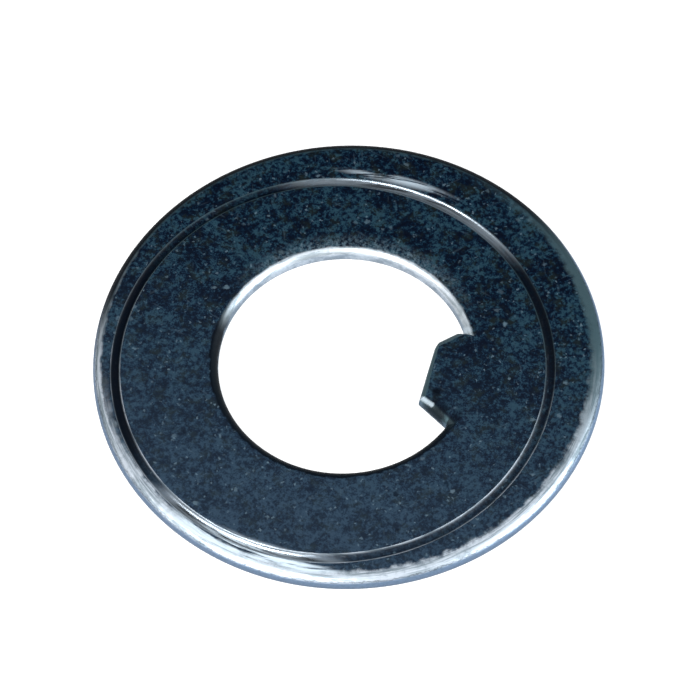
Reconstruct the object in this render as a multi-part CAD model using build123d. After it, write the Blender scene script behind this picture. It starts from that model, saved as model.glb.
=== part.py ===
"""Tab washer: one stamped steel ring with a tab that reaches into its bore.

All sizes are in millimetres and all angles in degrees. The washer lies on
Z = 0 with the middle of its rim on the Z axis, and its tab stands on the +X
side of the bore. The punched side, with its rolled edges, faces up. The bore
was pierced a little off the middle of the rim, and so was the channel struck.
"""
from build123d import *
from math import cos, radians, sin, sqrt
import os

# Driving sizes of the ring
outer_diameter = 52.0
bore_diameter = 25.5
bore_shift_x = -0.45
bore_shift_y = -0.32
thickness = 1.5

# Rolled edges, each given by its reach across the face and its drop down the wall
bore_roll_reach = 1.10
bore_roll_drop = 0.95
rim_roll_reach = 1.35
rim_roll_drop = 0.82
under_roll_reach = 0.35
under_roll_drop = 0.35

# Round channel in the top face, struck a little off centre
channel_width = 0.95
channel_depth = 0.28
channel_lip_radius = 0.15
channel_shift_x = -1.35
channel_shift_y = -1.31
flange_least_flat = 0.17
flange_step = 0.12

# Tab: how far each side's root lies off its centre line, each side's lean, its reach into the bore
tab_upper_root = 6.3
tab_lower_root = 5.1
tab_upper_lean = 41.0
tab_lower_lean = 34.0
tab_reach = 4.2
tab_tip_skew = 2.9
tab_side_roll_reach = 1.05
tab_tip_roll_round_end = 0.40
tab_tip_roll_sharp_end = 0.95
tab_corner_radius = 2.5
tab_corner_roll = 0.55

# Most of a wall's height that a rolled edge may take, above and below
top_roll_share = 0.65
under_roll_share = 0.28

# Derived sizes
outer_radius = outer_diameter / 2
bore_radius = bore_diameter / 2
flange_top = thickness - flange_step
channel_shift = sqrt(channel_shift_x**2 + channel_shift_y**2)
channel_outer_radius = outer_radius - rim_roll_reach - flange_least_flat - channel_shift
channel_inner_radius = channel_outer_radius - channel_width
tab_tip_x = bore_radius - tab_reach
tab_root_width = tab_upper_root + tab_lower_root
tab_anchor_radius = bore_radius + 2 * bore_roll_reach
block = 2 * tab_root_width
channel_place = Pos(channel_shift_x, channel_shift_y, 0)
bore_place = Pos(bore_shift_x, bore_shift_y, 0)


def limited(drop, wall, share):
    """Keep a rolled edge's drop within its share of the wall."""
    return min(drop, share * wall)


def edge_profile(reach, drop, height):
    """Section of a wall at x = 0 with material on +x, its top and foot edges rolled."""
    top_drop = limited(drop, height, top_roll_share)
    foot_drop = limited(under_roll_drop, height, under_roll_share)
    foot_turn = (under_roll_reach, foot_drop)
    crown = (reach, height - top_drop)
    foot = EllipticalCenterArc(foot_turn, under_roll_reach, foot_drop, 180, arc_size=90)
    wall = Line((0, foot_drop), (0, height - top_drop))
    roll = EllipticalCenterArc(crown, reach, top_drop, 90, arc_size=90)
    return [roll, wall, foot]


def edge_section(reach, drop, height, depth):
    """Closed section behind a rolled wall, running `depth` into the metal."""
    edges = edge_profile(reach, drop, height)
    edges += [
        Line((under_roll_reach, 0), (depth, 0)),
        Line((depth, 0), (depth, height)),
        Line((depth, height), (reach, height)),
    ]
    return make_face(edges)


def rolled_ring():
    """Ring at flange height with its rim rolled, and its bore still plain and undersize."""
    section = edge_section(rim_roll_reach, rim_roll_drop, flange_top, outer_radius)
    return revolve(Plane.XZ * Pos(-outer_radius, 0, 0) * section, Axis.Z)


def raised_seat():
    """Inner face of the washer, a disc that stands a step above the flange."""
    middle = (channel_inner_radius + channel_outer_radius) / 2
    disc = Cylinder(middle, thickness - under_roll_drop, align=(Align.CENTER, Align.CENTER, Align.MAX))
    return channel_place * Pos(0, 0, thickness) * disc


def channel_cutter():
    """Ring of round section that strikes the channel between the seat and the flange."""
    middle = (channel_inner_radius + channel_outer_radius) / 2
    above = thickness + channel_depth
    bed = ThreePointArc(
        (channel_inner_radius, thickness),
        (middle, thickness - channel_depth),
        (channel_outer_radius, flange_top),
    )
    lid = Polyline(
        (channel_outer_radius, flange_top),
        (channel_outer_radius, above),
        (channel_inner_radius, above),
        (channel_inner_radius, thickness),
    )
    section = make_face([bed, *lid.edges()])
    return channel_place * revolve(Plane.XZ * section, Axis.Z)


def channel_lips(ring):
    """The two round edges where the channel meets the top face."""
    circles = ring.edges().filter_by(GeomType.CIRCLE)
    lips = [edge for edge in circles if abs(edge.radius - channel_inner_radius) < 0.01]
    lips += [edge for edge in circles if abs(edge.radius - channel_outer_radius) < 0.01]
    return lips


def bore_cutter():
    """Everything inside the bore, flared where the bore's edges are rolled."""
    section = edge_section(bore_roll_reach, bore_roll_drop, thickness, 2 * bore_roll_reach)
    ring = revolve(Plane.XZ * Pos(bore_radius, 0, 0) * section, Axis.Z)
    core = Cylinder(bore_radius + bore_roll_reach, thickness, align=(Align.CENTER, Align.CENTER, Align.MIN))
    return core - ring


def upright(origin, inward):
    """Plane for a wall section: its x runs into the metal and its y runs up."""
    return Plane(origin=origin, x_dir=inward, z_dir=inward.cross(Vector(0, 0, 1)))


def side_inward(side):
    """Direction from a tab side into the tab; side is +1 for the upper one or -1 for the lower."""
    lean = radians(tab_upper_lean if side > 0 else tab_lower_lean)
    return Vector(sin(lean), -side * cos(lean), 0)


def tip_inward():
    """Direction from the tab's tip into the tab."""
    skew = radians(tab_tip_skew)
    return Vector(cos(skew), -sin(skew), 0)


def side_root(side):
    """Point where a tab side meets the bore wall."""
    off_centre = tab_upper_root if side > 0 else tab_lower_root
    return Vector(sqrt(bore_radius**2 - off_centre**2), side * off_centre, 0)


def inside_round_corner(inset):
    """Point that lies `inset` inside both the +Y side and the tip of the tab."""
    from_side = side_inward(1)
    from_tip = tip_inward()
    side_reach = side_root(1).dot(from_side) + inset
    tip_reach = tab_tip_x * from_tip.X + inset
    turn = from_side.X * from_tip.Y - from_side.Y * from_tip.X
    x = (side_reach * from_tip.Y - tip_reach * from_side.Y) / turn
    y = (tip_reach * from_side.X - side_reach * from_tip.X) / turn
    return Vector(x, y, 0)


def tab_side(side):
    """Long block whose rolled wall is one side of the tab."""
    section = edge_section(tab_side_roll_reach, bore_roll_drop, thickness, block)
    return extrude(upright(side_root(side), side_inward(side)) * section, block, both=True)


def tab_tip():
    """Block whose rolled wall is the tab's tip; the roll grows towards the sharp corner."""
    across = Vector(0, 0, 1).cross(tip_inward()) * tab_root_width / 2
    middle = Vector(tab_tip_x, 0, 0)
    sharp = edge_section(tab_tip_roll_sharp_end, tab_tip_roll_sharp_end, thickness, block)
    rounded = edge_section(tab_tip_roll_round_end, tab_tip_roll_round_end, thickness, block)
    sharp_end = upright(middle - across, tip_inward()) * sharp
    round_end = upright(middle + across, tip_inward()) * rounded
    return loft([sharp_end, round_end], ruled=True)


def tab_corner_waste():
    """Metal taken off the tab's +Y corner to round it, with the edge rolled on the way round."""
    centre = inside_round_corner(tab_corner_radius)
    side_foot = centre - side_inward(1) * tab_corner_radius
    tip_foot = centre - tip_inward() * tab_corner_radius
    kite = make_face(Polyline(centre, side_foot, inside_round_corner(0), tip_foot, close=True))
    section = edge_section(tab_corner_roll, tab_corner_roll, thickness, tab_corner_radius)
    pillar = revolve(Plane.XZ * Pos(-tab_corner_radius, 0, 0) * section, Axis.Z)
    return extrude(kite, thickness, dir=(0, 0, 1)) - Pos(centre.X, centre.Y, 0) * pillar


def tab():
    """Tab as the metal that its two sides and its tip have in common, less the round corner."""
    wedge = tab_side(1) & tab_side(-1) & tab_tip()
    keep = Cylinder(tab_anchor_radius, thickness, align=(Align.CENTER, Align.CENTER, Align.MIN))
    return (wedge & keep) - tab_corner_waste()


def washer():
    """The whole washer."""
    ring = rolled_ring() + raised_seat()
    ring -= channel_cutter()
    ring = fillet(channel_lips(ring), channel_lip_radius)
    ring -= bore_place * bore_cutter()
    return ring + bore_place * tab()


os.makedirs("parts", exist_ok=True)
tab_washer = washer()
print("solids", len(tab_washer.solids()), "valid", tab_washer.is_valid)
print("volume", round(tab_washer.volume, 1))
export_step(tab_washer, "parts/tab_washer.step")
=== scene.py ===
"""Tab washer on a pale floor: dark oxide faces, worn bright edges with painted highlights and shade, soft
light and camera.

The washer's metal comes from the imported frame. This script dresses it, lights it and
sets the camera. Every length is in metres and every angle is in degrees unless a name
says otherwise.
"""
import logging
from dataclasses import dataclass, field
from enum import Enum
from math import cos, pi, radians, sin
from typing import Optional, Union

import bpy
from mathutils import Matrix, Vector


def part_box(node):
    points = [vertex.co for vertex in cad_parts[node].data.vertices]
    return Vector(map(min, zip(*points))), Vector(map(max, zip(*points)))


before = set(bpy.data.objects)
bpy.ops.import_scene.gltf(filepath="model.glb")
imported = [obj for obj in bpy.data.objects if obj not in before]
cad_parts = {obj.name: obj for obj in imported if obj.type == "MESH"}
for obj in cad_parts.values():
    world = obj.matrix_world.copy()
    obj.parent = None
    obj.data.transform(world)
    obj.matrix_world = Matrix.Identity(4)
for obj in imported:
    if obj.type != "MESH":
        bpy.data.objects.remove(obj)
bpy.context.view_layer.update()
LOG = logging.getLogger("tab_washer")

Colour = tuple[float, float, float]
Place = tuple[float, float, float]
Socket = bpy.types.NodeSocket
Value = Union[Socket, float]


class Step(Enum):
    """Arithmetic steps that a mask is made with."""

    ADD = "ADD"
    SUBTRACT = "SUBTRACT"
    MULTIPLY = "MULTIPLY"
    DIVIDE = "DIVIDE"
    MAXIMUM = "MAXIMUM"
    ABSOLUTE = "ABSOLUTE"
    SINE = "SINE"
    LESS_THAN = "LESS_THAN"


@dataclass(frozen=True)
class WasherShape:
    """Where the washer's edges and channel lie, for the finish to follow.

    The marks of the top face come in between top_from and top_to, as shares of the thickness.
    """

    bore_radius: float = 0.01275
    bore_centre: Place = (-0.00045, -0.00032, 0.0)
    bore_roll: float = 0.0011
    rim_roll: float = 0.00135
    channel_width: float = 0.00095
    channel_centre: Place = (-0.00135, -0.00131, 0.0)
    flange_least_flat: float = 0.00017
    top_from: float = 0.25
    top_to: float = 0.45

    @property
    def rim_radius(self) -> float:
        """Outer radius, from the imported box."""
        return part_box("tab_washer")[1][1]

    @property
    def thickness(self) -> float:
        """Height of the washer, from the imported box."""
        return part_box("tab_washer")[1][2]

    @property
    def channel_outer_radius(self) -> float:
        """Outer radius of the channel, which comes close to the rim's roll on one side."""
        inside_roll = self.rim_radius - self.rim_roll - self.flange_least_flat
        return inside_roll - Vector(self.channel_centre).length

    @property
    def channel_inner_radius(self) -> float:
        """Inner radius of the channel."""
        return self.channel_outer_radius - self.channel_width


@dataclass(frozen=True)
class Oxide:
    """Dark blued skin of the flat faces."""

    deep: Colour = (0.0002, 0.0012, 0.0045)
    middle: Colour = (0.0006, 0.0050, 0.0135)
    pale: Colour = (0.0125, 0.0330, 0.0460)
    fleck: Colour = (0.0700, 0.1050, 0.1300)
    # Painted sheen colour, laid over the faces towards the near side where the light falls.
    painted_sheen: Colour = (0.0150, 0.0265, 0.0420)
    stain: Colour = (0.0045, 0.0070, 0.0060)
    dark_roughness: float = 0.50
    pale_roughness: float = 0.36
    sheen: float = 0.07


@dataclass(frozen=True)
class BrightSteel:
    """Bare steel where handling and tumbling wore the skin off, with the colours that paint highlights and
    shade on it.
    """

    # Bright steel colours are laid most on the rim's near side and the bore's far side, where the light
    # falls, so they also paint highlights; dull takes the other sides.
    polished: Colour = (0.46, 0.51, 0.57)
    burnished: Colour = (0.54, 0.59, 0.64)
    dull: Colour = (0.040, 0.070, 0.082)
    torn: Colour = (0.12, 0.17, 0.25)
    pressed: Colour = (0.24, 0.28, 0.32)
    # Colour of the painted highlights: streaks beside the channel and glints on the tab.
    streak: Colour = (0.36, 0.42, 0.47)
    # Colour of the channel's dirt and of the painted shade and dark reflections.
    grime_and_shade: Colour = (0.0006, 0.0014, 0.0032)
    polished_roughness: float = 0.30
    dull_roughness: float = 0.52
    torn_roughness: float = 0.55
    pressed_roughness: float = 0.27
    bareness: float = 0.55
    glint_bareness: float = 0.4


@dataclass(frozen=True)
class Clouds:
    """A cloudy mask: how fine it is, and where it turns from 0 to 1."""

    scale: float
    low: float
    high: float
    roughness: float = 0.6


@dataclass(frozen=True)
class Marks:
    """Scattered round marks: how many to a metre, their size and the share that shows."""

    scale: float
    size: float
    share: float


@dataclass(frozen=True)
class Spot:
    """A soft round spot on the top face, its border broken where ragged is over 0."""

    centre: Place
    radius: float
    ragged: float = 0.0


@dataclass(frozen=True)
class Arc:
    """One side of the washer.

    The mask rises from low to high along a bearing, which is counter-clockwise from +X.
    Low and high are shares of the rim's radius.
    """

    bearing: float
    low: float
    high: float


@dataclass(frozen=True)
class Reach:
    """Distances from an edge, in metres, at which a mask is 0 and 1."""

    none: float
    full: float


@dataclass(frozen=True)
class Band:
    """Band beside an edge, in metres, with the softness of its shoulders."""

    low: float
    high: float
    soft: float


@dataclass(frozen=True)
class FacePattern:
    """What breaks up the oxide on the flat faces, and how strongly."""

    broad: Clouds = Clouds(380.0, 0.34, 0.66)
    fine: Clouds = Clouds(2300.0, 0.34, 0.68, 0.80)
    fine_share: float = 0.70
    mottle_low: float = 0.16
    mottle_high: float = 0.84
    middle_full: float = 0.60
    pale_from: float = 0.45
    stain: Clouds = Clouds(700.0, 0.48, 0.66)
    stain_strength: float = 0.7
    pale_strength: float = 0.70
    # Side and reach of the painted sheen, which lightens the faces towards the near side.
    painted_sheen: Arc = Arc(-95.0, -0.60, 1.0)
    painted_sheen_least: float = 0.30
    flecks: Marks = Marks(800.0, 0.26, 0.12)
    specks: Marks = Marks(2200.0, 0.36, 0.16)
    fleck_strength: float = 0.55
    pits: Marks = Marks(850.0, 0.30, 0.14)
    pit_strength: float = 0.7
    stir_scale: float = 2400.0
    stir_reach: float = 0.0007
    scratch_strength: float = 0.09
    scratch_length: float = 7.0
    scratch_rarity: float = 0.70
    scratches: tuple[tuple[float, float], ...] = ((20.0, 2300.0), (75.0, 2500.0), (140.0, 2400.0))
    scuffed: Arc = Arc(95.0, 0.22, 0.50)
    scuff_grit: Clouds = Clouds(2600.0, 0.42, 0.62, 0.8)
    scuff_reach: Reach = Reach(0.0016, -0.0002)
    scuff_strength: float = 0.6


@dataclass(frozen=True)
class EdgePattern:
    """How the rolled edges and walls are worn, torn and stained, and on which sides painted highlights fall.

    The torn and line limits are shares of the thickness. The wear limits are slopes, which
    are 1 on a level face and 0 on an upright wall.
    """

    streaks: Clouds = Clouds(1.0, 0.38, 0.56)
    blots: Clouds = Clouds(520.0, 0.26, 0.50)
    rim_least: float = 0.30
    bore_least: float = 0.45
    # Sides where the bare edges are brightest: wear, with painted highlights on the lit sides.
    rim_highlight_side: Arc = Arc(-95.0, -0.40, 0.50)
    bore_highlight_side: Arc = Arc(95.0, -0.06, 0.42)
    tab_polish: float = 0.12
    tab_reach: Reach = Reach(-0.0001, -0.0005)
    bore_reach: Reach = Reach(0.003, 0.002)
    channel_soft: float = 0.0002
    torn_from: float = 0.76
    torn_to: float = 0.60
    torn_grit: Clouds = Clouds(3000.0, 0.3, 0.7)
    torn_least: float = 0.75
    bore_wall_polish: float = 0.55
    line_from: float = 0.72
    line_to: float = 0.76
    line_soft: float = 0.00004
    line_border: Clouds = Clouds(2400.0, 0.35, 0.65)
    line_ragged: float = 0.00012
    line_strength: float = 0.5
    wear_border: Clouds = Clouds(900.0, 0.2, 0.8)
    wear_ragged: float = 0.025
    wear_from: float = 0.998
    wear_to: float = 0.940
    # Band beside the rim on the near side and the right: partly wear, partly a painted highlight where the
    # light falls.
    rim_band_lit_side: Arc = Arc(-45.0, -0.55, 0.30)
    rim_band_lit_reach: Reach = Reach(-0.0014, -0.0006)
    rim_band_lit_ragged: float = 0.0006


@dataclass(frozen=True)
class ChannelPattern:
    """Which parts of the channel are bare where the light falls, streaked with painted highlights, or black
    with dirt and painted shade.
    """

    # Bare bed of the channel, only where it catches the light: partly painted highlight.
    far_lit_bed: Arc = Arc(80.0, 0.60, 0.80)
    near_lit_bed: Arc = Arc(-103.0, 0.80, 0.87)
    clean_streaks: Clouds = Clouds(0.8, 0.3, 0.6)
    clean_least: float = 0.35
    clean_soft: float = 0.00012
    # Painted highlight patches beside the channel, far and near, where it catches the light.
    far_glint: Arc = Arc(86.0, 0.81, 0.86)
    far_glint_band: Band = Band(-0.0015, 0.0010, 0.0004)
    near_glint: Arc = Arc(-101.0, 0.86, 0.92)
    near_glint_band: Band = Band(-0.0012, 0.0012, 0.0003)
    glint_streaks: Clouds = Clouds(0.7, 0.40, 0.56)
    glint_gaps: Clouds = Clouds(380.0, 0.22, 0.46)
    # Painted shade: the channel is blackest on the left and right, where its walls face away from the light.
    black_right: Arc = Arc(30.0, 0.60, 0.80)
    black_left: Arc = Arc(188.0, 0.68, 0.84)
    faint_black: float = 0.45
    black_soft: float = 0.00016


@dataclass(frozen=True)
class Stains:
    """Painted shade, dark reflections and highlights at places of their own."""

    # Painted dark reflection along the near edge of the bore.
    bore_dark_reflection_side: Arc = Arc(-105.0, -0.05, 0.12)
    bore_border: Clouds = Clouds(900.0, 0.3, 0.7)
    bore_ragged: float = 0.0002
    bore_band: Band = Band(0.0001, 0.0010, 0.0001)
    # Painted dark reflection on the far side of the rim's roll.
    far_rim_reflection_side: Arc = Arc(115.0, 0.15, 0.55)
    far_rim_reflection_reach: Reach = Reach(-0.0009, -0.0006)
    spot_border: Clouds = Clouds(1500.0, 0.35, 0.65)
    # Painted shade on the tab's lower corner: a broad spot and a small dark one.
    tab_foot_shade: Spot = Spot((0.0098, -0.0044, 0.0), 0.0026, 0.0006)
    tab_foot_shade_strength: float = 0.9
    tab_shade_spot: Spot = Spot((0.0095, -0.0020, 0.0), 0.0009, 0.0003)
    # Painted highlights on the tab: a spot at its upper root and a short streak by its sharp corner.
    tab_root_highlight: Spot = Spot((0.0110, 0.0058, 0.0), 0.0008, 0.0003)
    tab_glint_start: Place = (0.0082, -0.0029, 0.0)
    tab_glint_step: Place = (0.0002, -0.0001, 0.0)
    tab_glint_spots: int = 7
    tab_glint_radius: float = 0.00032
    tab_highlight_strength: float = 0.6
    grime_and_shade_strength: float = 0.97


@dataclass(frozen=True)
class Relief:
    """Fine heights, in metres, that the light picks out, and how finely each is drawn."""

    grain_scale: float = 2600.0
    grain_height: float = 0.000010
    wave_scale: float = 420.0
    face_wave: float = 0.00002
    edge_wave: float = 0.00006
    scratch_depth: float = 0.000005
    ripple_pitch: float = 0.00075
    ripple_height: float = 0.000016
    ripple_band: Band = Band(-0.0011, 0.0016, 0.0006)
    ripple_streaks: Clouds = Clouds(0.6, 0.30, 0.70)


class NodeDesk:
    """Short ways to place and wire shader nodes in one tree."""

    def __init__(self, tree: bpy.types.NodeTree) -> None:
        """Keeps the tree that nodes go into."""
        self.tree = tree

    def node(self, kind: str, **settings: object) -> bpy.types.Node:
        """Places a node.

        Args:
            kind: Blender's node type, without its ShaderNode prefix.
            settings: properties of the node and their values.

        Returns:
            The new node.
        """
        made = self.tree.nodes.new("ShaderNode" + kind)
        for name, value in settings.items():
            setattr(made, name, value)
        return made

    def feed(self, socket: Socket, value: Union[Value, Colour, Vector]) -> None:
        """Links a socket, or sets it where the value is a plain one.

        Args:
            socket: the socket to feed.
            value: a socket to link from, or a plain value.
        """
        if isinstance(value, bpy.types.NodeSocket):
            self.tree.links.new(value, socket)
        elif isinstance(value, (int, float)):
            socket.default_value = value
        else:
            size = len(socket.default_value)
            socket.default_value = (*value, 1.0)[:size]

    def math(self, step: Step, first: Value, second: Value = 0.0) -> Socket:
        """Result of one arithmetic step.

        Args:
            step: the step to take.
            first: its first value.
            second: its second value, where it takes two.

        Returns:
            The result.
        """
        made = self.node("Math", operation=step.value)
        self.feed(made.inputs[0], first)
        self.feed(made.inputs[1], second)
        return made.outputs[0]

    def _fold(self, step: Step, values: tuple[Value, ...]) -> Socket:
        """Takes one step over and over, from the first value to the last.

        Args:
            step: the step to take.
            values: the values, in order.

        Returns:
            The result.
        """
        result = values[0]
        for value in values[1:]:
            result = self.math(step, result, value)
        return result

    def times(self, *values: Value) -> Socket:
        """Product of two or more values."""
        return self._fold(Step.MULTIPLY, values)

    def plus(self, *values: Value) -> Socket:
        """Sum of two or more values."""
        return self._fold(Step.ADD, values)

    def most(self, *values: Value) -> Socket:
        """Largest of two or more values."""
        return self._fold(Step.MAXIMUM, values)

    def minus(self, first: Value, second: Value) -> Socket:
        """First value less the second."""
        return self.math(Step.SUBTRACT, first, second)

    def smooth(self, value: Value, low: float, high: float) -> Socket:
        """Soft step from 0 at low to 1 at high; low may be the larger.

        Args:
            value: the value that the step follows.
            low: the value at which the step is 0.
            high: the value at which the step is 1.

        Returns:
            The step.
        """
        made = self.node("MapRange", interpolation_type="SMOOTHSTEP")
        self.feed(made.inputs["Value"], value)
        self.feed(made.inputs["From Min"], low)
        self.feed(made.inputs["From Max"], high)
        return made.outputs["Result"]

    def band(self, value: Value, low: float, high: float, soft: float) -> Socket:
        """Mask that is 1 between low and high, with soft shoulders.

        Args:
            value: the value that the band follows.
            low: where the band starts.
            high: where the band ends.
            soft: half the width of each shoulder.

        Returns:
            The mask.
        """
        rise = self.smooth(value, low - soft, low + soft)
        fall = self.smooth(value, high + soft, high - soft)
        return self.times(rise, fall)

    def blend(self, factor: Value, under: Union[Socket, Colour], over: Union[Socket, Colour]) -> Socket:
        """Colour laid over another by a factor.

        Args:
            factor: how much of the upper colour shows.
            under: the lower colour.
            over: the upper colour.

        Returns:
            The blended colour.
        """
        made = self.node("Mix", data_type="RGBA")
        self.feed(made.inputs["Factor"], factor)
        self.feed(made.inputs[6], under)
        self.feed(made.inputs[7], over)
        return made.outputs[2]

    def between(self, factor: Value, first: Value, second: Value) -> Socket:
        """Number between two others.

        Args:
            factor: how far towards the second number.
            first: the number at 0.
            second: the number at 1.

        Returns:
            The number.
        """
        made = self.node("Mix", data_type="FLOAT")
        self.feed(made.inputs["Factor"], factor)
        self.feed(made.inputs[2], first)
        self.feed(made.inputs[3], second)
        return made.outputs[0]

    def noise(self, place: Socket, scale: Value, detail: float) -> bpy.types.Node:
        """Places a cloudy noise.

        Args:
            place: where the noise is read.
            scale: how fine it is.
            detail: how many finer layers it has.

        Returns:
            The noise node.
        """
        made = self.node("TexNoise", noise_dimensions="3D")
        self.feed(made.inputs["Vector"], place)
        self.feed(made.inputs["Scale"], scale)
        self.feed(made.inputs["Detail"], detail)
        return made

    def parts(self, place: Socket) -> bpy.types.NodeOutputs:
        """The x, y and z of a place or direction.

        Args:
            place: the place or direction.

        Returns:
            Its three sockets.
        """
        made = self.node("SeparateXYZ")
        self.feed(made.inputs[0], place)
        return made.outputs

    def joined(self, *parts: Value) -> Socket:
        """Place or direction made of its x, y and z; a part left out is 0.

        Args:
            parts: the x, y and z that are given.

        Returns:
            The place or direction.
        """
        made = self.node("CombineXYZ")
        for socket, part in zip(made.inputs, parts):
            self.feed(socket, part)
        return made.outputs[0]

    def distance(self, place: Socket, centre: Place) -> Socket:
        """Distance of a place from an upright axis through centre.

        Args:
            place: the place.
            centre: where the axis crosses height 0.

        Returns:
            The distance.
        """
        x, y, _ = self.parts(place)
        away = self.node("VectorMath", operation="DISTANCE")
        self.feed(away.inputs[0], self.joined(x, y))
        self.feed(away.inputs[1], centre)
        return away.outputs["Value"]

    def group(self, tree: bpy.types.NodeTree, **values: Union[Value, Vector]) -> Socket:
        """Places a shared effect, feeds its inputs by name and gives its mask.

        Args:
            tree: the shared effect.
            values: its inputs, by name.

        Returns:
            The effect's mask.
        """
        made = self.node("Group", node_tree=tree)
        for name, value in values.items():
            self.feed(made.inputs[name], value)
        return made.outputs[0]


class SharedEffects:
    """Shader groups that the washer's finish places more than once."""

    def __init__(self) -> None:
        """Builds each group once."""
        self.patches = self._patches()
        self.marks = self._marks()
        self.hairlines = self._hairlines()

    @staticmethod
    def _group(name: str, **defaults: float) -> tuple[NodeDesk, dict[str, Socket], Socket]:
        """Starts a group that takes a place and some numbers and gives one mask.

        Args:
            name: the group's name.
            defaults: each number's name and default.

        Returns:
            A desk for its tree, its inputs by name and the socket that its mask goes to.
        """
        tree = bpy.data.node_groups.new(name, "ShaderNodeTree")
        tree.interface.new_socket("Place", in_out="INPUT", socket_type="NodeSocketVector")
        for label, default in defaults.items():
            socket = tree.interface.new_socket(label, in_out="INPUT", socket_type="NodeSocketFloat")
            socket.default_value = default
        tree.interface.new_socket("Mask", in_out="OUTPUT", socket_type="NodeSocketFloat")
        entry = tree.nodes.new("NodeGroupInput")
        leave = tree.nodes.new("NodeGroupOutput")
        return NodeDesk(tree), {socket.name: socket for socket in entry.outputs}, leave.inputs["Mask"]

    def _patches(self) -> bpy.types.NodeTree:
        """Cloudy patches with finer ones inside them, as on blued and handled steel.

        Returns:
            The group's tree.
        """
        desk, entry, mask = self._group("patches", Scale=500.0, Roughness=0.6, Low=0.35, High=0.65)
        cloud = desk.noise(entry["Place"], entry["Scale"], detail=5.0)
        desk.feed(cloud.inputs["Roughness"], entry["Roughness"])
        desk.feed(mask, desk.smooth(cloud.outputs[0], entry["Low"], entry["High"]))
        return desk.tree

    def _marks(self) -> bpy.types.NodeTree:
        """Scattered round marks: each cell holds one, and a share of the cells shows it.

        Returns:
            The group's tree.
        """
        desk, entry, mask = self._group("marks", Scale=900.0, Size=0.25, Share=0.2)
        cells = desk.node("TexVoronoi", voronoi_dimensions="3D", feature="F1")
        desk.feed(cells.inputs["Vector"], entry["Place"])
        desk.feed(cells.inputs["Scale"], entry["Scale"])
        near = desk.math(Step.DIVIDE, cells.outputs["Distance"], entry["Size"])
        solid, faintest = 0.45, 0.35
        dot = desk.smooth(near, 1.0, solid)
        draws = desk.node("SeparateColor")
        desk.feed(draws.inputs[0], cells.outputs["Color"])
        shown = desk.math(Step.LESS_THAN, draws.outputs[0], entry["Share"])
        strength = desk.between(draws.outputs[1], faintest, 1.0)
        desk.feed(mask, desk.times(dot, shown, strength))
        return desk.tree

    def _hairlines(self) -> bpy.types.NodeTree:
        """Short straight scratches along one direction in the plane of the face.

        Returns:
            The group's tree.
        """
        desk, entry, mask = self._group("hairlines", Turn=0.0, Scale=500.0, Length=14.0, Rarity=0.72)
        turned = desk.node("VectorRotate", rotation_type="Z_AXIS")
        desk.feed(turned.inputs["Vector"], entry["Place"])
        desk.feed(turned.inputs["Angle"], entry["Turn"])
        along, across, _ = desk.parts(turned.outputs[0])
        drawn = desk.joined(desk.math(Step.DIVIDE, along, entry["Length"]), across)
        streak = desk.noise(drawn, entry["Scale"], detail=1.0)
        above = desk.minus(streak.outputs[0], entry["Rarity"])
        soft = 0.05
        desk.feed(mask, desk.smooth(above, 0.0, soft))
        return desk.tree


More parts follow.
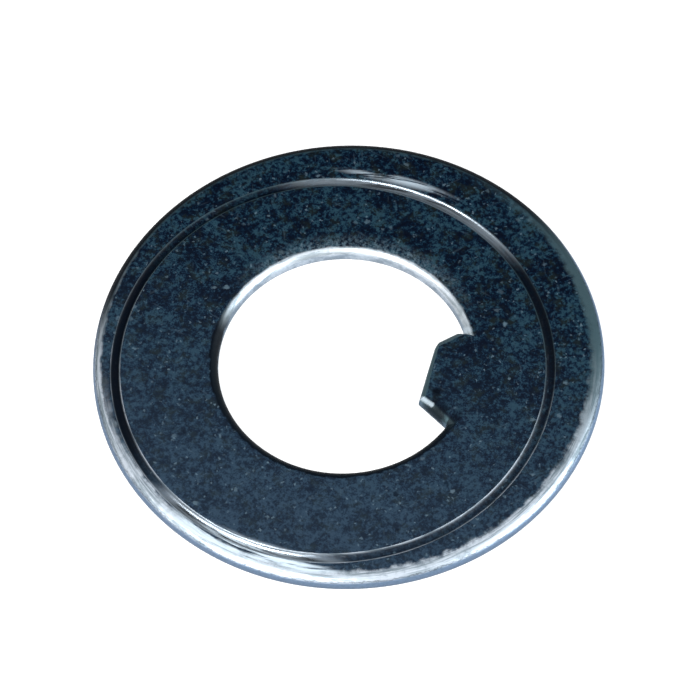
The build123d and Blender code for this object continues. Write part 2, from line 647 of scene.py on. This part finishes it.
@dataclass
class WasherFinish:
    """The washer's one material: oxide on the faces, wear on the edges, dirt in the channel, and painted
    sheen, highlights, shade and dark reflections.
    """

    shape: WasherShape
    effects: SharedEffects
    oxide: Oxide = Oxide()
    steel: BrightSteel = BrightSteel()
    on_face: FacePattern = FacePattern()
    on_edge: EdgePattern = EdgePattern()
    in_channel: ChannelPattern = ChannelPattern()
    stains: Stains = Stains()
    relief: Relief = Relief()
    desk: NodeDesk = field(init=False)
    shader: bpy.types.Node = field(init=False)
    place: Socket = field(init=False)
    across: Socket = field(init=False)
    along: Socket = field(init=False)
    height: Socket = field(init=False)
    upright: Socket = field(init=False)
    from_rim_middle: Socket = field(init=False)
    from_bore: Socket = field(init=False)
    from_channel: Socket = field(init=False)
    on_top: Socket = field(init=False)
    mottle: Socket = field(init=False)
    scratches: Socket = field(init=False)

    def build(self) -> bpy.types.Material:
        """Makes the material.

        Returns:
            The finished material.
        """
        material = bpy.data.materials.new("blued_steel_worn")
        material.use_nodes = True
        self.desk = NodeDesk(material.node_tree)
        self.shader = material.node_tree.nodes["Principled BSDF"]
        self._places()
        self.mottle = self._mottle()
        self.scratches = self._scratches()
        face = self._face_colour()
        edge, edge_rough = self._edge_finish()
        worn = self._wear_mask()
        self._lay(face, edge, edge_rough, worn)
        self._raise(worn)
        return material

    def _lay(self, face: Socket, edge: Socket, edge_rough: Socket, worn: Socket) -> None:
        """Lays the face, the worn edges, the channel, the dark mask of dirt, painted shade and dark
        reflections, and the painted highlights over each other.

        Args:
            face: colour of the faces.
            edge: colour of the worn edges.
            edge_rough: roughness of the worn edges.
            worn: where the edges are worn.
        """
        desk, oxide, steel = self.desk, self.oxide, self.steel
        pressed = self._pressed_lit_bed_mask()
        grime_and_shade = self._grime_and_shade_mask()
        streaks = self._painted_highlight_mask()
        colour = desk.blend(worn, face, edge)
        # Bare channel bed, laid only where the light falls: partly painted highlight.
        colour = desk.blend(pressed, colour, steel.pressed)
        # Dirt, painted shade and dark reflections, laid over the colour.
        colour = desk.blend(grime_and_shade, colour, steel.grime_and_shade)
        # Painted highlights: bright streaks beside the channel and on the tab.
        colour = desk.blend(streaks, colour, steel.streak)
        desk.feed(self.shader.inputs["Base Color"], colour)
        bare = desk.most(desk.times(worn, steel.bareness), pressed)
        bare = desk.times(bare, desk.minus(1.0, grime_and_shade), desk.between(streaks, 1.0, steel.glint_bareness))
        desk.feed(self.shader.inputs["Metallic"], bare)
        desk.feed(self.shader.inputs["Specular IOR Level"], oxide.sheen)
        face_rough = desk.between(self.mottle, oxide.dark_roughness, oxide.pale_roughness)
        rough = desk.between(worn, face_rough, edge_rough)
        desk.feed(self.shader.inputs["Roughness"], desk.between(pressed, rough, steel.pressed_roughness))

    def _places(self) -> None:
        """Works out where a point is: its place, slope, height and distances."""
        desk, shape = self.desk, self.shape
        coords = desk.node("TexCoord")
        self.place = coords.outputs["Object"]
        self.across, self.along, self.height = desk.parts(self.place)
        self.upright = desk.math(Step.ABSOLUTE, desk.parts(coords.outputs["Normal"])[2])
        self.from_rim_middle = desk.distance(self.place, (0.0, 0.0, 0.0))
        self.from_bore = desk.distance(self.place, shape.bore_centre)
        self.from_channel = desk.distance(self.place, shape.channel_centre)
        thick = shape.thickness
        self.on_top = desk.smooth(self.height, thick * shape.top_from, thick * shape.top_to)

    def _channel(self, soft: float) -> Socket:
        """Mask of the channel, which is in the top face only.

        Args:
            soft: half the width of its soft border.

        Returns:
            The mask.
        """
        shape = self.shape
        ring = self.desk.band(self.from_channel, shape.channel_inner_radius, shape.channel_outer_radius, soft)
        return self.desk.times(ring, self.on_top)

    def _beside(self, off: Socket, band: Band) -> Socket:
        """Mask of a band, from the distance off its edge."""
        return self.desk.band(off, band.low, band.high, band.soft)

    def _toward(self, arc: Arc) -> Socket:
        """Mask that rises across the washer towards one side.

        Args:
            arc: the side, and where the mask rises.

        Returns:
            The mask.
        """
        desk, radius = self.desk, self.shape.rim_radius
        turn = radians(arc.bearing)
        reach = desk.plus(desk.times(self.across, cos(turn)), desk.times(self.along, sin(turn)))
        return desk.smooth(reach, arc.low * radius, arc.high * radius)

    def _cloudy(self, clouds: Clouds, place: Optional[Socket] = None) -> Socket:
        """Cloudy mask, at the point's own place unless another is given."""
        return self.desk.group(self.effects.patches, Place=place or self.place, Scale=clouds.scale,
                               Roughness=clouds.roughness, Low=clouds.low, High=clouds.high)

    def _streaky(self, clouds: Clouds) -> Socket:
        """Cloudy mask drawn out into streaks that run round the washer."""
        return self._cloudy(clouds, self._ring_place())

    def _ring_place(self) -> Socket:
        """Place for marks that run round the washer: fine across the ring and long along it.

        Returns:
            The place.
        """
        desk, out = self.desk, self.from_rim_middle
        run = 5.0
        across_scale = 3500.0
        x = desk.times(desk.math(Step.DIVIDE, self.across, out), run)
        y = desk.times(desk.math(Step.DIVIDE, self.along, out), run)
        return desk.joined(x, y, desk.times(out, across_scale))

    def _marked(self, place: Socket, marks: Marks) -> Socket:
        """Scattered marks at a place."""
        return self.desk.group(self.effects.marks, Place=place, Scale=marks.scale, Size=marks.size,
                               Share=marks.share)

    def _spot(self, spot: Spot) -> Socket:
        """Mask of a spot.

        Args:
            spot: where the spot is, and its size.

        Returns:
            The mask.
        """
        desk = self.desk
        ragged = desk.times(self._cloudy(self.stains.spot_border), spot.ragged)
        away = desk.plus(desk.distance(self.place, spot.centre), ragged)
        solid = 0.35
        return desk.smooth(away, spot.radius, spot.radius * solid)

    def _mottle(self) -> Socket:
        """How pale the oxide is, from broad clouds and a fine grain.

        Returns:
            The paleness, from 0 to 1.
        """
        desk, pattern = self.desk, self.on_face
        broad, fine = self._cloudy(pattern.broad), self._cloudy(pattern.fine)
        return desk.smooth(desk.between(pattern.fine_share, broad, fine),
                           pattern.mottle_low, pattern.mottle_high)

    def _face_colour(self) -> Socket:
        """Oxide colour with patches, flecks, hairlines and a painted sheen that lightens the near side, where
        the light falls.

        Returns:
            The faces' colour.
        """
        desk, oxide, pattern = self.desk, self.oxide, self.on_face
        colour = desk.blend(desk.smooth(self.mottle, 0.0, pattern.middle_full), oxide.deep, oxide.middle)
        stained = desk.times(self._cloudy(pattern.stain), pattern.stain_strength)
        colour = desk.blend(stained, colour, oxide.stain)
        paled = desk.times(desk.smooth(self.mottle, pattern.pale_from, 1.0), pattern.pale_strength)
        colour = desk.blend(paled, colour, oxide.pale)
        # Painted sheen: the oxide turns lighter towards the near side, where the light falls.
        mottled = desk.between(self.mottle, pattern.painted_sheen_least, 1.0)
        painted_sheen = desk.times(self._toward(pattern.painted_sheen), mottled)
        colour = desk.blend(painted_sheen, colour, oxide.painted_sheen)
        stirred = self._stirred_place()
        flecks = desk.most(self._marked(stirred, pattern.flecks), self._marked(stirred, pattern.specks))
        colour = desk.blend(desk.times(flecks, pattern.fleck_strength), colour, oxide.fleck)
        pits = desk.times(self._marked(stirred, pattern.pits), pattern.pit_strength)
        colour = desk.blend(pits, colour, oxide.deep)
        scratches = desk.times(self.scratches, pattern.scratch_strength)
        colour = desk.blend(scratches, colour, oxide.fleck)
        return desk.blend(self._bore_scuff(), colour, oxide.fleck)

    def _stirred_place(self) -> Socket:
        """Place stirred a little, so that marks come out ragged.

        Returns:
            The place.
        """
        desk, pattern = self.desk, self.on_face
        stir = desk.noise(self.place, pattern.stir_scale, detail=2.0)
        shift = desk.node("VectorMath", operation="SCALE")
        desk.feed(shift.inputs[0], stir.outputs["Color"])
        desk.feed(shift.inputs["Scale"], pattern.stir_reach)
        moved = desk.node("VectorMath", operation="ADD")
        desk.feed(moved.inputs[0], self.place)
        desk.feed(moved.inputs[1], shift.outputs[0])
        return moved.outputs[0]

    def _bore_scuff(self) -> Socket:
        """Rough pale rub on the face beside the far edge of the bore.

        Returns:
            The mask.
        """
        desk, pattern = self.desk, self.on_face
        edge = self.shape.bore_radius + self.shape.bore_roll
        near = desk.smooth(self.from_bore, edge + pattern.scuff_reach.none, edge + pattern.scuff_reach.full)
        side = desk.times(self._toward(pattern.scuffed), self.on_top)
        return desk.times(near, side, self._cloudy(pattern.scuff_grit), pattern.scuff_strength)

    def _scratches(self) -> Socket:
        """Hairlines in a few directions.

        Returns:
            The mask.
        """
        pattern = self.on_face
        lines = [
            self.desk.group(self.effects.hairlines, Place=self.place, Turn=radians(turn), Scale=scale,
                            Length=pattern.scratch_length, Rarity=pattern.scratch_rarity)
            for turn, scale in pattern.scratches
        ]
        return self.desk.most(*lines)

    def _tab_mask(self) -> Socket:
        """The tab, which stands inside the bore's circle."""
        radius, reach = self.shape.bore_radius, self.on_edge.tab_reach
        return self.desk.smooth(self.from_bore, radius + reach.none, radius + reach.full)

    def _bore_side(self) -> Socket:
        """The bore's wall and roll, apart from the rest."""
        radius, reach = self.shape.bore_radius, self.on_edge.bore_reach
        return self.desk.smooth(self.from_bore, radius + reach.none, radius + reach.full)

    def _polish_and_highlight(self, bore: Socket) -> Socket:
        """How bright the bare edges are: bare steel all round, with painted highlights on the rim's near side
        and the bore's far side, where the light falls.

        Args:
            bore: the bore's side, apart from the rim's.

        Returns:
            The polish, from 0 to 1.
        """
        desk, pattern = self.desk, self.on_edge
        polish = desk.between(bore, self._toward(pattern.rim_highlight_side), self._toward(pattern.bore_highlight_side))
        return desk.times(polish, desk.between(self._tab_mask(), 1.0, pattern.tab_polish))

    def _edge_finish(self) -> tuple[Socket, Socket]:
        """Bare steel on the rolled edges and walls, brighter on the sides where painted highlights fall.

        Returns:
            Its colour and its roughness.
        """
        desk, steel, pattern = self.desk, self.steel, self.on_edge
        bore = self._bore_side()
        worked = desk.times(self._streaky(pattern.streaks), self._cloudy(pattern.blots))
        least = desk.between(bore, pattern.rim_least, pattern.bore_least)
        # Wear on the edges, brightened towards the lit sides as painted highlight.
        rubbed_and_lit = desk.times(desk.between(worked, least, 1.0), self._polish_and_highlight(bore))
        colour = desk.blend(rubbed_and_lit, steel.dull, desk.blend(bore, steel.polished, steel.burnished))
        rough = desk.between(rubbed_and_lit, steel.dull_roughness, steel.polished_roughness)
        thick = self.shape.thickness
        torn = desk.smooth(self.height, thick * pattern.torn_from, thick * pattern.torn_to)
        colour = desk.blend(torn, colour, self._torn_colour(bore, colour))
        colour = desk.blend(self._torn_line(bore), colour, steel.grime_and_shade)
        return colour, desk.between(torn, rough, steel.torn_roughness)

    def _torn_colour(self, bore: Socket, polished: Socket) -> Socket:
        """Colour of the walls, which the punch tore; the bore's wall keeps some of its polish.

        Args:
            bore: the bore's side, apart from the rim's.
            polished: colour of the edges that aren't torn.

        Returns:
            The torn walls' colour.
        """
        desk, steel, pattern = self.desk, self.steel, self.on_edge
        grit = desk.between(self._cloudy(pattern.torn_grit), pattern.torn_least, 1.0)
        wall = desk.blend(desk.times(bore, pattern.bore_wall_polish), steel.torn, polished)
        return desk.blend(grit, steel.dull, wall)

    def _torn_line(self, bore: Socket) -> Socket:
        """Thin dark line above the torn wall of the rim.

        Args:
            bore: the bore's side, apart from the rim's.

        Returns:
            The mask.
        """
        desk, pattern, thick = self.desk, self.on_edge, self.shape.thickness
        ragged = desk.times(self._cloudy(pattern.line_border), pattern.line_ragged)
        height = desk.plus(self.height, ragged)
        line = desk.band(height, thick * pattern.line_from, thick * pattern.line_to, pattern.line_soft)
        return desk.times(line, desk.between(bore, pattern.line_strength, 0.0))

    def _wear_mask(self) -> Socket:
        """Where the oxide is worn off: rolled edges and walls, with a broken border, and a band beside the
        rim on the lit near side and right, which partly paints a highlight.

        Returns:
            The mask.
        """
        desk, pattern = self.desk, self.on_edge
        border = self._cloudy(pattern.wear_border)
        slope = desk.plus(self.upright, desk.times(border, pattern.wear_ragged))
        edge = desk.most(desk.smooth(slope, pattern.wear_from, pattern.wear_to), self._lit_rim_band(border))
        return desk.times(edge, desk.minus(1.0, self._channel(pattern.channel_soft)))

    def _lit_rim_band(self, border: Socket) -> Socket:
        """Band of the flange beside the rim, bare on the near side and the right, where it widens the
        highlight: partly wear, partly painted highlight.

        Args:
            border: cloudy mask that breaks the band's border.

        Returns:
            The mask.
        """
        desk, pattern, radius = self.desk, self.on_edge, self.shape.rim_radius
        reach = desk.plus(self.from_rim_middle, desk.times(border, pattern.rim_band_lit_ragged))
        edge = pattern.rim_band_lit_reach
        band = desk.smooth(reach, radius + edge.none, radius + edge.full)
        # Bare only on the lit near side and right, which partly paints a highlight.
        return desk.times(band, self.on_top, self._toward(pattern.rim_band_lit_side))

    def _lit_bed_arcs(self) -> Socket:
        """The parts of the channel that are bare, placed where it catches the light: a long far one and a
        short near one.
        """
        pattern = self.in_channel
        return self.desk.most(self._toward(pattern.far_lit_bed), self._toward(pattern.near_lit_bed))

    def _pressed_lit_bed_mask(self) -> Socket:
        """The channel's bare bed, which the die burnished, broken by streaks; it lies only where the light
        falls, so it partly paints highlights.

        Returns:
            The mask.
        """
        desk, pattern = self.desk, self.in_channel
        broken = desk.between(self._streaky(pattern.clean_streaks), pattern.clean_least, 1.0)
        return desk.times(self._channel(pattern.clean_soft), self._lit_bed_arcs(), broken)

    def _painted_highlight_mask(self) -> Socket:
        """Painted highlights: bright streaks round the washer in a far patch and a near one beside the
        channel, and the tab's glints.

        Returns:
            The mask.
        """
        desk, pattern = self.desk, self.in_channel
        off = desk.minus(self.from_channel, self.shape.channel_outer_radius)
        far = desk.times(self._toward(pattern.far_glint), self._beside(off, pattern.far_glint_band))
        near = desk.times(self._toward(pattern.near_glint), self._beside(off, pattern.near_glint_band))
        lines = desk.times(self._streaky(pattern.glint_streaks), self._cloudy(pattern.glint_gaps))
        made = desk.times(desk.most(far, near), lines)
        return desk.times(desk.most(made, self._tab_highlights()), self.on_top)

    def _tab_highlights(self) -> Socket:
        """Painted highlights on the tab: one at its upper root and a short streak by its sharp corner.

        Returns:
            The mask.
        """
        desk, stains = self.desk, self.stains
        start, step = Vector(stains.tab_glint_start), Vector(stains.tab_glint_step)
        places = [tuple(start + step * number) for number in range(stains.tab_glint_spots)]
        streak = [self._spot(Spot(place, stains.tab_glint_radius)) for place in places]
        # Painted highlights on the tab.
        return desk.times(desk.most(self._spot(stains.tab_root_highlight), *streak), stains.tab_highlight_strength)

    def _grime_and_shade_mask(self) -> Socket:
        """Dirt in the channel, with painted shade and dark reflections on the near edge of the bore, the tab,
        the channel's sides and the far rim.
        """
        masks = (self._bore_reflection_and_tab_shade(), self._channel_grime_and_shade(), self._far_rim_dark_reflection())
        return self.desk.times(self.desk.most(*masks), self.stains.grime_and_shade_strength)

    def _bore_reflection_and_tab_shade(self) -> Socket:
        """Painted dark reflection on the near edge of the bore, and painted shade on the tab by its sharp
        corner.

        Returns:
            The mask.
        """
        desk, stains, radius = self.desk, self.stains, self.shape.bore_radius
        band = stains.bore_band
        ragged = desk.times(self._cloudy(stains.bore_border), stains.bore_ragged)
        away = desk.plus(self.from_bore, ragged)
        edge = desk.band(away, radius + band.low, radius + band.high, band.soft)
        # Painted dark reflection along the near edge of the bore.
        edge = desk.times(edge, self._toward(stains.bore_dark_reflection_side))
        # Painted shade on the tab by its sharp corner.
        foot = desk.times(self._spot(stains.tab_foot_shade), self._tab_mask(), stains.tab_foot_shade_strength)
        return desk.times(desk.most(edge, self._spot(stains.tab_shade_spot), foot), self.on_top)

    def _channel_grime_and_shade(self) -> Socket:
        """Grime in the channel, faint all round, with painted shade that makes it black on the left and
        right, where its walls face away from the light.

        Returns:
            The mask.
        """
        desk, pattern = self.desk, self.in_channel
        # Painted shade: black on the left and right, faint dirt elsewhere.
        black = desk.most(self._toward(pattern.black_right), self._toward(pattern.black_left))
        bed = desk.times(self._channel(pattern.black_soft), desk.minus(1.0, self._lit_bed_arcs()))
        return desk.times(bed, desk.between(black, pattern.faint_black, 1.0))

    def _far_rim_dark_reflection(self) -> Socket:
        """Painted dark reflection on the far side of the rim's roll.

        Returns:
            The mask.
        """
        radius, reach = self.shape.rim_radius, self.stains.far_rim_reflection_reach
        rim = self.desk.smooth(self.from_rim_middle, radius + reach.none, radius + reach.full)
        # Painted dark reflection on the far rim.
        return self.desk.times(rim, self._toward(self.stains.far_rim_reflection_side))

    def _ripples(self) -> Socket:
        """Shallow rings that the bearing face pressed beside the channel.

        Returns:
            Their height, in metres.
        """
        desk, shape, relief = self.desk, self.shape, self.relief
        middle = (shape.channel_inner_radius + shape.channel_outer_radius) / 2
        off = desk.minus(self.from_channel, middle)
        wave = desk.math(Step.SINE, desk.times(off, 2 * pi / relief.ripple_pitch))
        near = self._beside(off, relief.ripple_band)
        return desk.times(wave, near, self._streaky(relief.ripple_streaks), relief.ripple_height)

    def _raise(self, worn: Socket) -> None:
        """Gives the metal its fine relief: grain, waves, ripples and scratches.

        Args:
            worn: where the edges are worn, which are more uneven than the faces.
        """
        desk, relief = self.desk, self.relief
        grain = desk.noise(self.place, relief.grain_scale, detail=3.0).outputs[0]
        waves = desk.noise(self.place, relief.wave_scale, detail=2.0).outputs[0]
        height = desk.plus(
            desk.times(grain, relief.grain_height),
            desk.times(waves, desk.between(worn, relief.face_wave, relief.edge_wave)),
            self._ripples(),
        )
        height = desk.minus(height, desk.times(self.scratches, relief.scratch_depth))
        bump = desk.node("Bump")
        desk.feed(bump.inputs["Strength"], 1.0)
        desk.feed(bump.inputs["Distance"], 1.0)
        desk.feed(bump.inputs["Height"], height)
        desk.feed(self.shader.inputs["Normal"], bump.outputs[0])


class Washer:
    """The washer itself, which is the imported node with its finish."""

    node_name = "tab_washer"

    def __init__(self, shape: WasherShape, effects: SharedEffects) -> None:
        """Keeps the washer's sizes and the shared effects."""
        self.shape = shape
        self.effects = effects

    def dress(self) -> bpy.types.Object:
        """Gives the washer its finish.

        Returns:
            The washer's object.
        """
        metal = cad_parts[self.node_name]
        metal.material_slots[0].material = WasherFinish(self.shape, self.effects).build()
        return metal


@dataclass(frozen=True)
class Lamp:
    """A soft round lamp that looks at the washer."""

    name: str
    azimuth: float
    elevation: float
    away: float
    size: float
    strength: float
    colour: Colour = (1.0, 1.0, 1.0)

    def hang(self) -> bpy.types.Object:
        """Hangs the lamp.

        Returns:
            The lamp's object.
        """
        data = bpy.data.lights.new(self.name, "AREA")
        data.shape = "DISK"
        data.size = self.size
        data.energy = self.strength
        data.color = self.colour
        lamp = bpy.data.objects.new(self.name, data)
        toward = direction(self.azimuth, self.elevation)
        lamp.location = toward * self.away
        lamp.rotation_euler = toward.to_track_quat("Z", "Y").to_euler()
        bpy.context.scene.collection.objects.link(lamp)
        return lamp


def direction(azimuth: float, elevation: float) -> Vector:
    """Direction from the washer; azimuth 0 is -Y and 90 is +X."""
    turn, lift = radians(azimuth), radians(elevation)
    return Vector((sin(turn) * cos(lift), -cos(turn) * cos(lift), sin(lift)))


class Studio:
    """Floor, lamps, sky and camera."""

    floor_side = 2.0
    floor_drop = 0.00001
    floor_albedo = 0.28
    floor_glow = 0.85
    floor_roughness = 0.9
    sky: Colour = (0.02, 0.022, 0.026)
    camera_azimuth = 14.2
    camera_elevation = 59.5
    camera_roll = 2.2
    camera_away = 0.788
    lens = 398.6
    sensor = 36.0
    aim_right = 0.000125
    aim_up = 0.001635
    lamps = (
        Lamp("key", -31.0, 52.0, 0.26, 0.12, 1.4),
        Lamp("fill", 88.0, 34.0, 0.42, 0.34, 3.4, (0.90, 0.96, 1.0)),
    )

    def build(self) -> None:
        """Sets up everything round the washer."""
        self._floor()
        self._sky()
        for lamp in self.lamps:
            lamp.hang()
        self._camera()
        bpy.context.scene.view_settings.view_transform = "Standard"

    def _floor(self) -> None:
        """Lays the pale floor, white to the eye and soft in the washer's shadow."""
        half = self.floor_side / 2
        mesh = bpy.data.meshes.new("floor")
        corners = ((-half, -half), (half, -half), (half, half), (-half, half))
        mesh.from_pydata([(x, y, -self.floor_drop) for x, y in corners], [], [(0, 1, 2, 3)])
        floor = bpy.data.objects.new("floor", mesh)
        bpy.context.scene.collection.objects.link(floor)
        mesh.materials.append(self._floor_material())

    def _floor_material(self) -> bpy.types.Material:
        """White paper that glows a little to the camera and in reflections.

        Returns:
            The finished material.
        """
        material = bpy.data.materials.new("white_paper")
        material.use_nodes = True
        tree = material.node_tree
        desk = NodeDesk(tree)
        shader = tree.nodes["Principled BSDF"]
        desk.feed(shader.inputs["Base Color"], (self.floor_albedo,) * 3)
        shader.inputs["Roughness"].default_value = self.floor_roughness
        shader.inputs["Specular IOR Level"].default_value = 0.0
        shader.inputs["Emission Color"].default_value = (1.0, 1.0, 1.0, 1.0)
        rays = desk.node("LightPath")
        seen = desk.most(*(rays.outputs[f"Is {kind} Ray"] for kind in ("Camera", "Glossy", "Transmission")))
        desk.feed(shader.inputs["Emission Strength"], desk.times(seen, self.floor_glow))
        return material

    def _sky(self) -> None:
        """Gives the room an even dim light."""
        world = bpy.data.worlds.new("room")
        world.use_nodes = True
        world.node_tree.nodes["Background"].inputs["Color"].default_value = (*self.sky, 1.0)
        bpy.context.scene.world = world

    def _camera(self) -> None:
        """Places the camera, which looks down on the washer through a long lens."""
        data = bpy.data.cameras.new("camera")
        data.lens = self.lens
        data.sensor_width = self.sensor
        camera = bpy.data.objects.new("camera", data)
        back = direction(self.camera_azimuth, self.camera_elevation)
        level = Vector((0.0, 0.0, 1.0)).cross(back).normalized()
        steep = back.cross(level)
        roll = radians(self.camera_roll)
        right = level * cos(roll) - steep * sin(roll)
        up = level * sin(roll) + steep * cos(roll)
        place = right * self.aim_right + up * self.aim_up + back * self.camera_away
        camera.matrix_world = Matrix((
            (right.x, up.x, back.x, place.x),
            (right.y, up.y, back.y, place.y),
            (right.z, up.z, back.z, place.z),
            (0.0, 0.0, 0.0, 1.0),
        ))
        bpy.context.scene.collection.objects.link(camera)
        bpy.context.scene.camera = camera


def main() -> None:
    """Builds the washer and the studio in order."""
    logging.basicConfig(level=logging.INFO, format="%(name)s: %(message)s")
    washer = Washer(WasherShape(), SharedEffects()).dress()
    LOG.info("%s dressed, %d faces", washer.name, len(washer.data.polygons))
    Studio().build()
    LOG.info("studio set")


if __name__ == "__main__":
    main()
